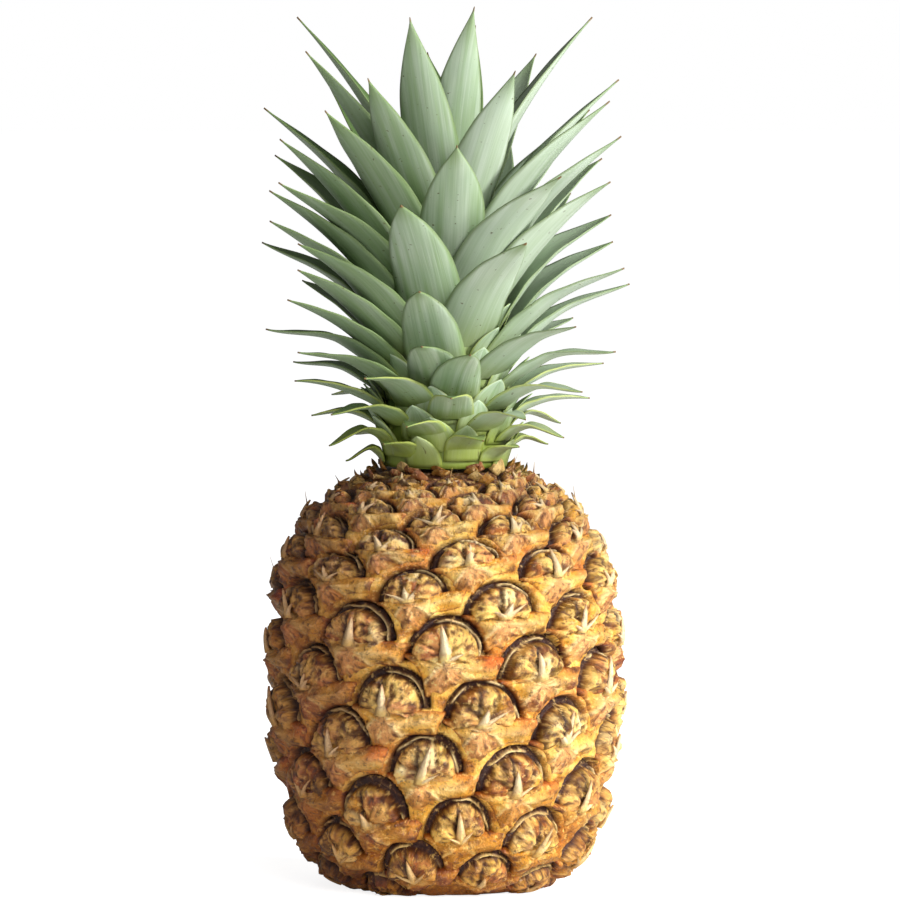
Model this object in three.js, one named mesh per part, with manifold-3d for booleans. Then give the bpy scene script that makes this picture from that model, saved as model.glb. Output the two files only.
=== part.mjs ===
// A pineapple standing on its base: one fruit whose eyes follow spirals, with a crown of leaves.
// Millimetres, +Z up. The origin is the middle of the flat spot that the fruit rests on, and the
// front of the fruit faces -Y. Azimuths are counted from the front towards +X.
import * as THREE from "three";
import { mergeVertices } from "three/addons/utils/BufferGeometryUtils.js";
import Module from "manifold-3d";

const wasm = await Module();
wasm.setup();

const DEGREE = Math.PI / 180;
const GOLDEN_ANGLE = 137.5077 * DEGREE; // from each eye, and each leaf, to the next one up

// Fruit
const BASE_RADIUS = 34; // the flat spot underneath
const SEAT_RADIUS = 25; // the flat top that the crown's stem stands on
const FRUIT_HEIGHT = 152;
const OUTLINE = [
  // radius and height of the skin between the flat spot and the seat
  [BASE_RADIUS, 0],
  [48.5, 11],
  [56, 28],
  [60.5, 50],
  [62, 73],
  [61, 97],
  [57, 119],
  [46.5, 137],
  [33, 146.5],
  [SEAT_RADIUS, FRUIT_HEIGHT],
];
const BASE_INNER = 14; // the spiral of eyes ends this far from the axis, on the flat spot
const SEAT_INNER = 8; // and this far from the axis, on the seat
// Rise from each eye to the next as a share of the radius there: it shrinks evenly from the
// first eye to the one where it stays "high".
const EYE_STEP = { low: 0.035, high: 0.023, highFrom: 60 };
const EYE_LEAN = 2.7; // how far the rings of eyes lean up towards +X, in eyes of the spiral
const FIRST_EYE = { azimuth: 5 * DEGREE, height: 29 }; // a low eye at the front
const EYE_RELIEF = { centre: 0.8, crest: 1.5, edge: -1.8, corner: -2.6 }; // out from the skin
const CREST_AT = 0.3; // how far from an eye's centre its crest lies, towards its neighbour
const RELIEF_RADIUS = 62; // the relief is full size at this radius and shrinks with the eyes
const RELIEF_FADE = 9; // the relief dies out over this height at each end

// Crown
const GAP = 0.35; // clearance between pieces that touch
const CROWN_BASE = FRUIT_HEIGHT + 2; // height of the lowest leaf's root
const STEM_RADIUS = 23;
const STEM_HEIGHT = 64; // from the lowest root to the growing point
const SCALES = 26; // small basal leaves, one piece with the stem
const LEAVES = 58;
const RANKS = SCALES + LEAVES;
const TIPS = [
  // radius and height of the leaves' tips, from the lowest leaf to the innermost
  [33, 160],
  [47, 170],
  [58, 188],
  [64, 212],
  [67, 238],
  [67, 264],
  [62, 292],
  [51, 318],
];
const HALF_WIDTHS = [
  // half of each leaf's greatest width, from the lowest leaf to the innermost
  7.5, 8.5, 10, 12, 13.5, 14, 13, 10,
];
const FIRST_LEAF_AZIMUTH = -88 * DEGREE; // continues the spiral of leaves to the front ones' places
// How much steeper a leaf starts than it runs on the whole: the lowest scale, and every leaf.
const OUTWARD_BEND = { lowest: 48 * DEGREE, leaves: 16 * DEGREE };
const BLADE_THICKNESS = 1.5;
const ROOT_THICKNESS = 1.1;
const WIDEST_WRAP = 38 * DEGREE; // the most of the stem that a leaf clasps to each side
const STATIONS = 7; // cross-sections along a blade, the tip left out
const COLUMNS = [-1, -0.5, 0, 0.5, 1]; // across a blade, from margin to margin
// How far round some leaves were pushed from their place in the spiral, by rank, in degrees.
const PUSHED = {
  27: -17,
  29: 5,
  34: 20,
  35: 5,
  37: -22,
  40: -22,
  42: 16,
  43: 10,
  45: -26,
  48: -9,
  50: -19,
  51: 35,
  53: -14,
  55: 15,
  56: 6,
  58: -25,
  59: 20,
  61: 13,
  64: -2,
  66: 18,
  69: 22,
  74: -38,
  76: 15,
  77: -33,
  78: -12,
  79: 7,
  80: -16,
  81: 15,
  82: -18,
  83: 3,
};
// How many places up the row of tips some leaves reach, by rank: a longer or a shorter leaf.
const REACH = {
  27: 1,
  32: -2.5,
  35: -1.5,
  38: 2,
  40: -1,
  45: 2,
  48: -1,
  61: -3,
  66: -3.5,
  71: -3,
  74: -1.5,
  77: -3.5,
  78: -3,
  79: 2.5,
  80: 1,
  82: 2,
  83: -4,
};

const lerp = THREE.MathUtils.lerp;

// The point at a radius and height, turned to an azimuth.
function place(azimuth, radius, height) {
  return [radius * Math.sin(azimuth), -radius * Math.cos(azimuth), height];
}

function meshOf(name, triangles, colour, roughness) {
  const loose = new THREE.BufferGeometry();
  loose.setAttribute(
    "position",
    new THREE.Float32BufferAttribute(triangles.flat(2), 3),
  );
  const geometry = mergeVertices(loose, 1e-3);
  geometry.computeVertexNormals();
  const material = new THREE.MeshStandardMaterial({
    color: colour,
    roughness,
    metalness: 0,
    side: THREE.DoubleSide,
  });
  const mesh = new THREE.Mesh(geometry, material);
  mesh.name = name;
  return mesh;
}

// ---- The fruit ----

// The skin's outline as samples from the flat spot over the side to the seat. "rise" grows by
// length over radius, so a spiral with equal steps of azimuth and rise keeps the eyes' shape
// while their size follows the radius.
function skinSamples() {
  const side = new THREE.SplineCurve(
    OUTLINE.map(([r, z]) => new THREE.Vector2(r, z)),
  );
  const path = new THREE.CurvePath();
  const base = new THREE.Vector2(BASE_INNER, 0);
  const seat = new THREE.Vector2(SEAT_INNER, FRUIT_HEIGHT);
  path.add(new THREE.LineCurve(base, side.points[0]));
  path.add(side);
  path.add(new THREE.LineCurve(side.points.at(-1), seat));
  const points = path.curves.flatMap((curve) =>
    curve.getSpacedPoints(160).slice(0, -1),
  );
  points.push(seat);
  let rise = 0;
  return points.map((point, i) => {
    const before = points[Math.max(i - 1, 0)];
    rise += (2 * point.distanceTo(before)) / (point.x + before.x);
    const after = points[Math.min(i + 1, points.length - 1)];
    const along = after.clone().sub(before).normalize();
    return { radius: point.x, height: point.y, out: along.y, up: -along.x, rise };
  });
}

const skin = skinSamples();
const riseWhere = (test) => skin.find(test).rise;
const firstRise = riseWhere((s) => s.height >= FIRST_EYE.height);
const sideStart = riseWhere((s) => s.radius >= BASE_RADIUS - 1e-6);
const sideEnd = riseWhere((s) => s.height >= FRUIT_HEIGHT - 1e-6);

function skinAt(rise) {
  const i = THREE.MathUtils.clamp(
    skin.findIndex((s) => s.rise > rise),
    1,
    skin.length - 1,
  );
  const [low, high] = [skin[i - 1], skin[i]];
  const share = (rise - low.rise) / (high.rise - low.rise);
  const at = (key) => lerp(low[key], high[key], share);
  return { radius: at("radius"), height: at("height"), out: at("out"), up: at("up") };
}

// The rise at a level, which counts eyes up the spiral from the first.
function riseAt(level) {
  const { low, high, highFrom } = EYE_STEP;
  const shrinking = THREE.MathUtils.clamp(level, 0, highFrom);
  return (
    firstRise +
    low * (Math.min(level, 0) + shrinking) +
    ((high - low) * shrinking ** 2) / (2 * highFrom) +
    high * Math.max(level - highFrom, 0)
  );
}

// A point of the fruit: its azimuth, its level before the lean, and its height off the skin.
function fruitPoint([azimuth, level], relief) {
  const s = skinAt(riseAt(level + EYE_LEAN * Math.sin(azimuth)));
  const fade =
    THREE.MathUtils.smoothstep(s.height, 0, RELIEF_FADE) *
    THREE.MathUtils.smoothstep(FRUIT_HEIGHT - s.height, 0, RELIEF_FADE);
  const off = (relief * fade * s.radius) / RELIEF_RADIUS;
  const height = Math.max(s.height + s.up * off, 0);
  return place(azimuth, s.radius + s.out * off, height);
}

const eyeAt = (n) => [FIRST_EYE.azimuth + n * GOLDEN_ANGLE, n];
const between = (a, b, share) => [
  lerp(a[0], b[0], share),
  lerp(a[1], b[1], share),
];

// An eye's neighbours are 5, 8 and 13 eyes further up the spiral. The 5th lies up to one side
// after two turns, the 8th up to the other side after three, and the 13th almost above.
const FIFTH = { eyes: 5, turns: 2 };
const EIGHTH = { eyes: 8, turns: 3 };
const THIRTEENTH = { eyes: 13, turns: 5 };

function neighbour([azimuth, level], { eyes, turns }) {
  return [azimuth + eyes * GOLDEN_ANGLE - turns * 2 * Math.PI, level + eyes];
}

// The part of an eye that lies in one triangle of eyes: half a facet and half its groove.
function eyeSector(eye, next, previous, corner) {
  const centre = fruitPoint(eye, EYE_RELIEF.centre);
  const crest = [next, previous].map((other) =>
    fruitPoint(between(eye, other, CREST_AT), EYE_RELIEF.crest),
  );
  const edge = [next, previous].map((other) =>
    fruitPoint(between(eye, other, 0.5), EYE_RELIEF.edge),
  );
  return [
    [centre, crest[0], crest[1]],
    [crest[0], edge[0], corner],
    [crest[0], corner, crest[1]],
    [crest[1], corner, edge[1]],
  ];
}

function eyeTriangle(a, b, c) {
  const middle = [(a[0] + b[0] + c[0]) / 3, (a[1] + b[1] + c[1]) / 3];
  const corner = fruitPoint(middle, EYE_RELIEF.corner);
  return [
    ...eyeSector(a, b, c, corner),
    ...eyeSector(b, c, a, corner),
    ...eyeSector(c, a, b, corner),
  ];
}

// Triangles from the line between two eyes to a point on the axis.
function closeTo(axisPoint, from, to) {
  const line = [
    fruitPoint(from, EYE_RELIEF.centre),
    fruitPoint(between(from, to, CREST_AT), EYE_RELIEF.crest),
    fruitPoint(between(from, to, 0.5), EYE_RELIEF.edge),
    fruitPoint(between(to, from, CREST_AT), EYE_RELIEF.crest),
    fruitPoint(to, EYE_RELIEF.centre),
  ];
  return line.slice(1).map((point, i) => [line[i], point, axisPoint]);
}

function fruit() {
  // The lowest ring of 13 eyes lies on the flat spot, and the highest on the seat.
  let firstEye = -13;
  while (riseAt(firstEye + 13 + EYE_LEAN) > sideStart) firstEye--;
  let lastEye = 13;
  while (riseAt(lastEye - 13 - EYE_LEAN) < sideEnd) lastEye++;
  const basePoint = [0, 0, 0];
  const seatPoint = [0, 0, FRUIT_HEIGHT];
  const triangles = [];
  for (let n = firstEye; n <= lastEye; n++) {
    const eye = eyeAt(n);
    const fifth = neighbour(eye, FIFTH);
    const eighth = neighbour(eye, EIGHTH);
    const thirteenth = neighbour(eye, THIRTEENTH);
    if (n + 13 <= lastEye) {
      triangles.push(...eyeTriangle(eye, thirteenth, fifth));
      triangles.push(...eyeTriangle(eye, eighth, thirteenth));
    } else {
      if (n + 5 <= lastEye) triangles.push(...closeTo(seatPoint, fifth, eye));
      if (n + 8 <= lastEye) triangles.push(...closeTo(seatPoint, eye, eighth));
    }
    if (n < firstEye + 8) triangles.push(...closeTo(basePoint, eye, fifth));
    if (n < firstEye + 5) triangles.push(...closeTo(basePoint, eighth, eye));
  }
  return meshOf("fruit", triangles, 0xc08a3e, 0.6);
}

// ---- The crown ----

const roots = new THREE.EllipseCurve(
  0,
  CROWN_BASE,
  STEM_RADIUS,
  STEM_HEIGHT,
  0,
  Math.PI / 2,
);
const tips = new THREE.SplineCurve(
  TIPS.map(([r, z]) => new THREE.Vector2(r, z)),
);
const halfWidths = new THREE.SplineCurve(
  HALF_WIDTHS.map((w, i) => new THREE.Vector2(i, w)),
);

// The midrib of the leaf of a rank: a curve of radius and height. The midribs of all ranks lie
// inside each other, and a blade is a strip of the surface that its midrib makes when it turns
// about the axis, so no two blades meet wherever they point.
function midrib(rank) {
  const t = rank / RANKS;
  const root = roots.getPointAt(t);
  const tip = tips.getPoint(Math.min((rank + (REACH[rank] ?? 0)) / RANKS, 1));
  const chord = tip.clone().sub(root);
  const bend = THREE.MathUtils.mapLinear(
    Math.min(rank, SCALES),
    0,
    SCALES,
    OUTWARD_BEND.lowest,
    OUTWARD_BEND.leaves,
  );
  const start = chord.clone().rotateAround(new THREE.Vector2(), bend);
  const middle = root.clone().addScaledVector(start, 0.5);
  return new THREE.QuadraticBezierCurve(root, middle, tip);
}

// A blade's width along it, as a share of the greatest: widest low down, then a long taper.
function taper(along) {
  return (0.92 + 0.55 * along) * (1 - along ** 1.9) ** 0.95;
}

// A blade as a closed shell. Its root end is sunk this far towards the axis.
function bladeTriangles(rank, sink = 0) {
  const curve = midrib(rank);
  const t = rank / RANKS;
  const halfWidth = halfWidths.getPoint(t).y;
  const azimuth =
    FIRST_LEAF_AZIMUTH + rank * GOLDEN_ANGLE + (PUSHED[rank] ?? 0) * DEGREE;
  const across = [
    ...COLUMNS.map((column) => [column, -1]),
    ...COLUMNS.slice(1, -1)
      .reverse()
      .map((column) => [column, 1]),
  ];
  const section = (along) => {
    const { x: radius, y: height } = curve.getPointAt(along);
    const tangent = curve.getTangentAt(along);
    const wrap = Math.min((halfWidth * taper(along)) / radius, WIDEST_WRAP);
    const thickness = lerp(ROOT_THICKNESS, BLADE_THICKNESS, Math.min(3 * along, 1));
    const inward = along === 0 ? sink : 0;
    return across.map(([column, face]) => {
      const off = (face * thickness * (1 - column ** 2)) / 2;
      return place(
        azimuth + column * wrap,
        radius - inward - tangent.y * off,
        height + tangent.x * off,
      );
    });
  };
  const sections = Array.from({ length: STATIONS }, (_, i) =>
    section(i / STATIONS),
  );
  const tip = curve.getPointAt(1);
  const tipPoint = place(azimuth, tip.x, tip.y);
  const triangles = [];
  const count = across.length;
  sections.forEach((ring, i) => {
    for (let j = 0; j < count; j++) {
      const k = (j + 1) % count;
      const above = sections[i + 1];
      if (above) {
        triangles.push([ring[j], ring[k], above[k]]);
        triangles.push([ring[j], above[k], above[j]]);
      } else {
        triangles.push([ring[j], ring[k], tipPoint]);
      }
    }
  });
  const end = sections[0];
  const facing = (j) => end[(count - j) % count]; // across the thickness from end[j]
  for (let j = 0; j < COLUMNS.length - 1; j++) {
    if (j > 0) triangles.push([end[j + 1], end[j], facing(j)]);
    if (j < COLUMNS.length - 2)
      triangles.push([end[j + 1], facing(j), facing(j + 1)]);
  }
  return triangles;
}

const GREENS = [0x8fae5a, 0x9dbb8f]; // from the lowest leaf to the innermost

function leafColour(rank) {
  const colour = new THREE.Color(GREENS[0]);
  return colour.lerp(new THREE.Color(GREENS[1]), rank / RANKS);
}

function leaf(rank) {
  const number = String(rank - SCALES + 1).padStart(2, "0");
  return meshOf(`leaf_${number}`, bladeTriangles(rank), leafColour(rank), 0.5);
}

function solidOf(geometry) {
  const positions = new THREE.BufferGeometry();
  positions.setIndex(geometry.index);
  positions.setAttribute("position", geometry.getAttribute("position"));
  const merged = mergeVertices(positions, 1e-3);
  return new wasm.Manifold(
    new wasm.Mesh({
      numProp: 3,
      vertProperties: merged.attributes.position.array,
      triVerts: new Uint32Array(merged.index.array),
    }),
  );
}

// The stem inside the crown, with the small basal leaves that grow out of its foot.
function crownStem() {
  const inset = BLADE_THICKNESS / 2 + GAP; // keeps the stem clear of the separate leaves' roots
  const foot = FRUIT_HEIGHT + GAP;
  const flank = new THREE.EllipseCurve(
    0,
    CROWN_BASE,
    STEM_RADIUS - inset,
    STEM_HEIGHT - inset,
    0,
    Math.PI / 2,
  );
  const profile = [
    new THREE.Vector2(0, foot),
    new THREE.Vector2(STEM_RADIUS - inset, foot),
    ...flank.getSpacedPoints(10),
  ];
  profile.at(-1).x = 0;
  const turned = new THREE.LatheGeometry(profile, 24);
  turned.rotateX(Math.PI / 2);
  let solid = solidOf(turned);
  for (let rank = 0; rank < SCALES; rank++) {
    const scale = meshOf("scale", bladeTriangles(rank, 2 * inset), 0, 1);
    solid = solid.add(solidOf(scale.geometry));
  }
  const made = solid.getMesh();
  const corners = Array.from(made.triVerts, (v) =>
    Array.from(made.vertProperties.slice(v * made.numProp, v * made.numProp + 3)),
  );
  return meshOf("crown_stem", corners, leafColour(0), 0.5);
}

const pineapple = new THREE.Group();
pineapple.add(fruit(), crownStem());
for (let rank = SCALES; rank < RANKS; rank++) pineapple.add(leaf(rank));

export default pineapple;
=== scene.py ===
"""A whole pineapple on a pale studio floor, built over its CAD frame. Lengths are in
millimetres until a mesh is made, and the frame's metres after that. The front faces -Y,
azimuths are counted from the front towards +X, and heights start on the floor."""

import math

import bpy
import numpy as np
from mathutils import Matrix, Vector


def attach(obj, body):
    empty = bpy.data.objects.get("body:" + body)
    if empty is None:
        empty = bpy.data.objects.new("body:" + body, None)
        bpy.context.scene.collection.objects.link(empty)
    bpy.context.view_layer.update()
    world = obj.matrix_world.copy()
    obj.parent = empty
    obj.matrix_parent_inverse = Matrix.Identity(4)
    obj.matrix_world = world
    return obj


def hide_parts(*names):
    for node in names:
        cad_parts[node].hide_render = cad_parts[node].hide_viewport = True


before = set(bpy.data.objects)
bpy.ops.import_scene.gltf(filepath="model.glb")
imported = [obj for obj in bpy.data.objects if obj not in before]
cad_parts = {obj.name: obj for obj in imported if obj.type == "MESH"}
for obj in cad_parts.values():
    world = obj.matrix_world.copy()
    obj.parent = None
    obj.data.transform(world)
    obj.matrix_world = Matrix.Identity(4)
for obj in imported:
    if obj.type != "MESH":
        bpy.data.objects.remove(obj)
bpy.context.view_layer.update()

MM = 0.001
GOLDEN_ANGLE = math.radians(137.5077)  # from each eye, and each leaf, to the next one up

# ---- Dimensions shared with the CAD model ----

FLAT_RADIUS = 34  # of the spot that the fruit rests on
# Radius and height of the bare skin, from the flat spot to the crown.
OUTLINE = [
    (FLAT_RADIUS, 0), (48.5, 11), (56, 28), (60.5, 50), (62, 73), (61, 97), (57, 119),
    (46.5, 137), (33, 146.5), (25, 152),
]
FRUIT_HEIGHT = 152
REFERENCE_RADIUS = 62  # an eye's measures hold where the fruit is this wide
# Rise from each eye to the next, as a share of the radius there: at the first eye, and from
# the eye where it stops shrinking.
EYE_STEP_LOW, EYE_STEP_HIGH, HIGH_FROM = 0.035, 0.023, 60
EYE_LEAN = 2.7  # how far the rings of eyes lean up towards +X, in eyes
FIRST_EYE_AZIMUTH = math.radians(5)
FIRST_EYE_HEIGHT = 29
LEVEL_MM = 1.83  # an eye's own measures count this much height for each eye up the spiral

CROWN_BASE = FRUIT_HEIGHT + 2
STEM_RADIUS = 23
STEM_HEIGHT = 64
SCALES = 26  # the basal leaves, which are one piece with the stem
LEAVES = 58
RANKS = SCALES + LEAVES
# Radius and height of the leaves' tips, from the lowest leaf to the innermost.
TIPS = [
    (33, 160), (47, 170), (58, 188), (64, 212), (67, 238), (67, 264), (62, 292), (51, 318),
]
# Half of each leaf's greatest width, in the same order.
HALF_WIDTHS = [7.5, 8.5, 10, 12, 13.5, 14, 13, 10]
FIRST_LEAF_AZIMUTH = math.radians(-88)
# How much steeper a leaf starts than it runs on the whole: the lowest scale, and every leaf.
BEND_LOWEST = math.radians(48)
BEND_LEAVES = math.radians(16)
WIDEST_WRAP = math.radians(38)  # the most of the stem that a leaf clasps to each side
# How far round some leaves were pushed from their place in the spiral, by rank, in degrees.
PUSHED = {
    27: -17, 29: 5, 34: 20, 35: 5, 37: -22, 40: -22, 42: 16, 43: 10, 45: -26, 48: -9, 50: -19,
    51: 35, 53: -14, 55: 15, 56: 6, 58: -25, 59: 20, 61: 13, 64: -2, 66: 18, 69: 22, 74: -38,
    76: 15, 77: -33, 78: -12, 79: 7, 80: -16, 81: 15, 82: -18, 83: 3,
}
# How many places up the row of tips some leaves reach, by rank.
REACH = {
    27: 1, 32: -2.5, 35: -1.5, 38: 2, 40: -1, 45: 2, 48: -1, 61: -3, 66: -3.5, 71: -3, 74: -1.5,
    77: -3.5, 78: -3, 79: 2.5, 80: 1, 82: 2, 83: -4,
}

LOWEST_RIND = 0.15  # the rind and its hairs stay this far above the floor
LOWEST_HAIR = 0.3

rng = np.random.default_rng(20)


def linear(*srgb):
    """A colour given in 0 to 255 as displayed, as linear light."""
    c = np.asarray(srgb, float) / 255
    return np.where(c <= 0.04045, c / 12.92, ((c + 0.055) / 1.055) ** 2.4)


def smoothstep(low, high, x):
    """0 at low and 1 at high, which may be the smaller one, and smooth between."""
    t = np.clip((x - low) / (high - low), 0, 1)
    return t * t * (3 - 2 * t)


def spline(points, t):
    """Points on a uniform Catmull-Rom curve, for an array t from 0 to 1."""
    p = np.asarray(points, float)
    if p.ndim == 1:
        p = p[:, None]
    last = len(p) - 1
    at = np.clip(np.asarray(t, float) * last, 0, last)
    i = np.minimum(at.astype(int), last - 1)
    w = (at - i)[..., None]
    p0, p1 = p[np.maximum(i - 1, 0)], p[i]
    p2, p3 = p[i + 1], p[np.minimum(i + 2, last)]
    v1, v2 = (p2 - p0) / 2, (p3 - p1) / 2
    return (2 * p1 - 2 * p2 + v1 + v2) * w**3 + (-3 * p1 + 3 * p2 - 2 * v1 - v2) * w**2 + v1 * w + p1


def place(azimuth, radius, height):
    """Points at a distance and height, turned round the upright axis."""
    return np.stack([radius * np.sin(azimuth), -radius * np.cos(azimuth), height + 0 * azimuth], -1)


def make_object(name, vertices, faces, attributes=(), colour=None):
    """A mesh object from millimetres, with named point attributes."""
    mesh = bpy.data.meshes.new(name)
    mesh.from_pydata((np.asarray(vertices) * MM).tolist(), [], faces)
    mesh.validate()
    mesh.polygons.foreach_set("use_smooth", np.full(len(mesh.polygons), True))
    for key, values in dict(attributes).items():
        values = np.asarray(values, np.float32)
        if values.ndim == 2:
            made = mesh.attributes.new(key, "FLOAT_VECTOR", "POINT")
            made.data.foreach_set("vector", values.ravel())
        else:
            made = mesh.attributes.new(key, "FLOAT", "POINT")
            made.data.foreach_set("value", values)
    if colour is not None:
        made = mesh.attributes.new("tint", "FLOAT_COLOR", "POINT")
        rgba = np.ones((len(colour), 4), np.float32)
        rgba[:, :3] = np.clip(colour, 0, 1)
        made.data.foreach_set("color", rgba.ravel())
    mesh.update()
    made = bpy.data.objects.new(name, mesh)
    bpy.context.scene.collection.objects.link(made)
    return made


class Batch:
    """Many small shells gathered into one mesh."""

    def __init__(self):
        self.vertices, self.faces, self.values, self.count = [], [], {}, 0

    def add(self, vertices, faces, **values):
        self.vertices.append(vertices)
        self.faces.extend([tuple(v + self.count for v in f) for f in faces])
        for key, array in values.items():
            self.values.setdefault(key, []).append(array)
        self.count += len(vertices)

    def build(self, name):
        values = {k: np.concatenate(v) for k, v in self.values.items()}
        colour = values.pop("tint", None)
        return make_object(name, np.concatenate(self.vertices), self.faces, values, colour)


# ---- Smooth noise for shapes ----


class Noise:
    """A sum of random waves: smooth, and the same on each run."""

    def __init__(self, wavelength, waves=24, dimensions=3):
        directions = rng.normal(size=(waves, dimensions))
        directions /= np.linalg.norm(directions, axis=1, keepdims=True)
        lengths = wavelength * rng.uniform(0.6, 1.6, waves)
        self.k = directions * (2 * math.pi / lengths)[:, None]
        self.phase = rng.uniform(0, 2 * math.pi, waves)
        self.scale = math.sqrt(2 / waves)

    def __call__(self, points):
        return np.sin(points @ self.k.T + self.phase).sum(axis=-1) * self.scale


coarse, middling, fine = Noise(30), Noise(7), Noise(2.4)

# ---- The skin ----


def skin_table():
    """Close points down the skin's outline, with the rise at each and its tangent."""
    side = spline(OUTLINE, np.linspace(0, 1, 4001))
    base = np.stack([np.linspace(14, FLAT_RADIUS, 200), np.zeros(200)], axis=1)
    seat = np.stack([np.linspace(25, 8, 200), np.full(200, FRUIT_HEIGHT)], axis=1)
    points = np.vstack([base[:-1], side, seat[1:]])
    steps = np.linalg.norm(np.diff(points, axis=0), axis=1)
    rise = np.cumsum(2 * steps / (points[1:, 0] + points[:-1, 0]))
    tangent = np.gradient(points, axis=0)
    tangent /= np.linalg.norm(tangent, axis=1, keepdims=True)
    # The normal turns smoothly from the flat spot to the side.
    window = np.hanning(81)
    window /= window.sum()
    smooth = [np.convolve(np.pad(t, 40, "edge"), window, "valid") for t in tangent.T]
    return points, np.concatenate([[0], rise]), np.stack(smooth, axis=1)


skin_points, skin_rise, skin_tangent = skin_table()
FIRST_RISE = skin_rise[np.argmax(skin_points[:, 1] >= FIRST_EYE_HEIGHT)]
SIDE_START = skin_rise[np.argmax(skin_points[:, 0] >= FLAT_RADIUS - 1e-6)]
SIDE_END = skin_rise[np.argmax(skin_points[:, 1] >= FRUIT_HEIGHT - 1e-6)]


def skin_at(rise):
    """The skin's radius and height at a rise, and its normal outwards and upwards."""
    radius = np.interp(rise, skin_rise, skin_points[:, 0])
    height = np.interp(rise, skin_rise, skin_points[:, 1])
    along = np.interp(rise, skin_rise, skin_tangent[:, 0])
    up = np.interp(rise, skin_rise, skin_tangent[:, 1])
    return radius, height, up, -along


def rise_at(level):
    """The rise at a level, which counts eyes up the spiral from the first."""
    shrinking = np.clip(level, 0, HIGH_FROM)
    return (
        FIRST_RISE
        + EYE_STEP_LOW * (np.minimum(level, 0) + shrinking)
        + (EYE_STEP_HIGH - EYE_STEP_LOW) * shrinking**2 / (2 * HIGH_FROM)
        + EYE_STEP_HIGH * np.maximum(level - HIGH_FROM, 0)
    )


def on_fruit(azimuth, level, off):
    """Points at heights off the skin, which are in mm where the fruit is widest."""
    radius, height, out, up = skin_at(rise_at(level + EYE_LEAN * np.sin(azimuth)))
    off = off * radius / REFERENCE_RADIUS
    z = np.maximum(height + up * off, LOWEST_RIND)
    return place(azimuth, radius + out * off, z)


# ---- The eyes ----

ARCH = 15.4  # radius of the groove that arches over an eye's half-moon dome
DOME_SILL = -6.0  # height of the dome's straight lower edge from the eye's centre


def lattice_offset(n):
    """How far the eye n places up the spiral lies to the side and above, in mm."""
    turn = n * GOLDEN_ANGLE
    turn = (turn + math.pi) % (2 * math.pi) - math.pi
    return np.array([turn * REFERENCE_RADIUS, n * LEVEL_MM])


neighbours = [lattice_offset(n) for n in range(-40, 41) if n]
neighbours = [o for o in neighbours if np.hypot(*o) < 75]


def sill_distance(p):
    """How far points lie from the lower edge of the dome at the origin."""
    beyond = np.maximum(np.abs(p[..., 0]) - ARCH, 0)
    return np.hypot(beyond, p[..., 1] - DOME_SILL)


def in_bract(p):
    """True where a point belongs to the bract below the sill of the eye at the origin."""
    mine = p[..., 1] < DOME_SILL + 0.8
    own = sill_distance(p)
    for offset in neighbours:
        q = p - offset
        above = q[..., 1] > DOME_SILL
        in_arch = above & (np.hypot(q[..., 0], q[..., 1] - DOME_SILL) < ARCH + 0.1)
        mine &= ~in_arch & ~(~above & (sill_distance(q) < own))
    return mine


def star_outline(centre, inside, count=120, reach=26.0):
    """Where rays from the centre leave a region, smoothed once."""
    angles = np.linspace(0, 2 * math.pi, count, endpoint=False)
    steps = np.arange(0.1, reach, 0.05)
    rays = np.stack([np.cos(angles), np.sin(angles)], axis=1)
    hit = ~inside(centre + steps[None, :, None] * rays[:, None, :])
    length = steps[np.where(hit.any(axis=1), hit.argmax(axis=1), len(steps) - 1)]
    length = (np.roll(length, 1) + 2 * length + np.roll(length, -1)) / 4
    return centre + rays * length[:, None]


def star_mesh(centre, outline, fractions):
    """Rings from the centre to the outline, closed below by one face."""
    count = len(outline)
    rings = [centre + (outline - centre) * f for f in fractions]
    points = np.vstack([centre[None], *rings])
    faces = [(0, 1 + j, 1 + (j + 1) % count) for j in range(count)]
    for i in range(len(fractions) - 1):
        a, b = 1 + i * count, 1 + (i + 1) * count
        for j in range(count):
            k = (j + 1) % count
            faces.append((a + j, b + j, b + k, a + k))
    last = 1 + (len(fractions) - 1) * count
    faces.append(tuple(last + (count - 1 - j) for j in range(count)))
    return points, faces


def polyline_distance(points, outline):
    """How far points lie from a closed outline."""
    a, b = outline, np.roll(outline, -1, axis=0)
    ab = b - a
    t = ((points[:, None] - a) * ab).sum(-1) / (ab * ab).sum(-1)
    near = a + np.clip(t, 0, 1)[..., None] * ab
    return np.linalg.norm(points[:, None] - near, axis=-1).min(axis=1)


BRACT_CENTRE = np.array([0.5, -9.6])
bract_outline = star_outline(BRACT_CENTRE, in_bract)
bract_points, bract_faces = star_mesh(
    BRACT_CENTRE,
    bract_outline,
    [0.2, 0.38, 0.54, 0.66, 0.76, 0.84, 0.9, 0.94, 0.975, 1.0],
)
bract_edge = polyline_distance(bract_points, bract_outline)


def arch_distance(p):
    """How far points lie from the nearest dome's arch, other than the eye's own."""
    nearest = np.full(len(p), 99.0)
    for offset in neighbours:
        q = p - offset
        away = np.hypot(q[:, 0], q[:, 1] - DOME_SILL) - ARCH
        away = np.where(q[:, 1] > DOME_SILL - 1.5, away, 99.0)
        nearest = np.minimum(nearest, np.maximum(away, 0))
    return nearest


bract_arch = arch_distance(bract_points)
bract_sill = np.maximum(DOME_SILL + 0.8 - bract_points[:, 1], 0)

# A dome's mesh: rings round the middle of its sill, from the groove's outer edge inwards.
DOME_TURNS = np.radians(np.linspace(-14, 194, 45))
DOME_RINGS = [2.2, 4.2, 6, 7.6, 9, 10, 10.8, 11.5, 12.1, 12.6, 13.1, 13.5, 13.9, 14.4, 15.4]
# Height of a dome and its groove off the skin, by distance from the middle of the sill.
PROFILE = {
    10: 0.3, 10.8: -0.1, 11.5: -0.9, 12.1: -2.6, 12.6: -4.0, 13.1: -3.7, 13.5: -3.5, 13.9: -3.8,
    15.4: -4.6,
}


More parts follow.
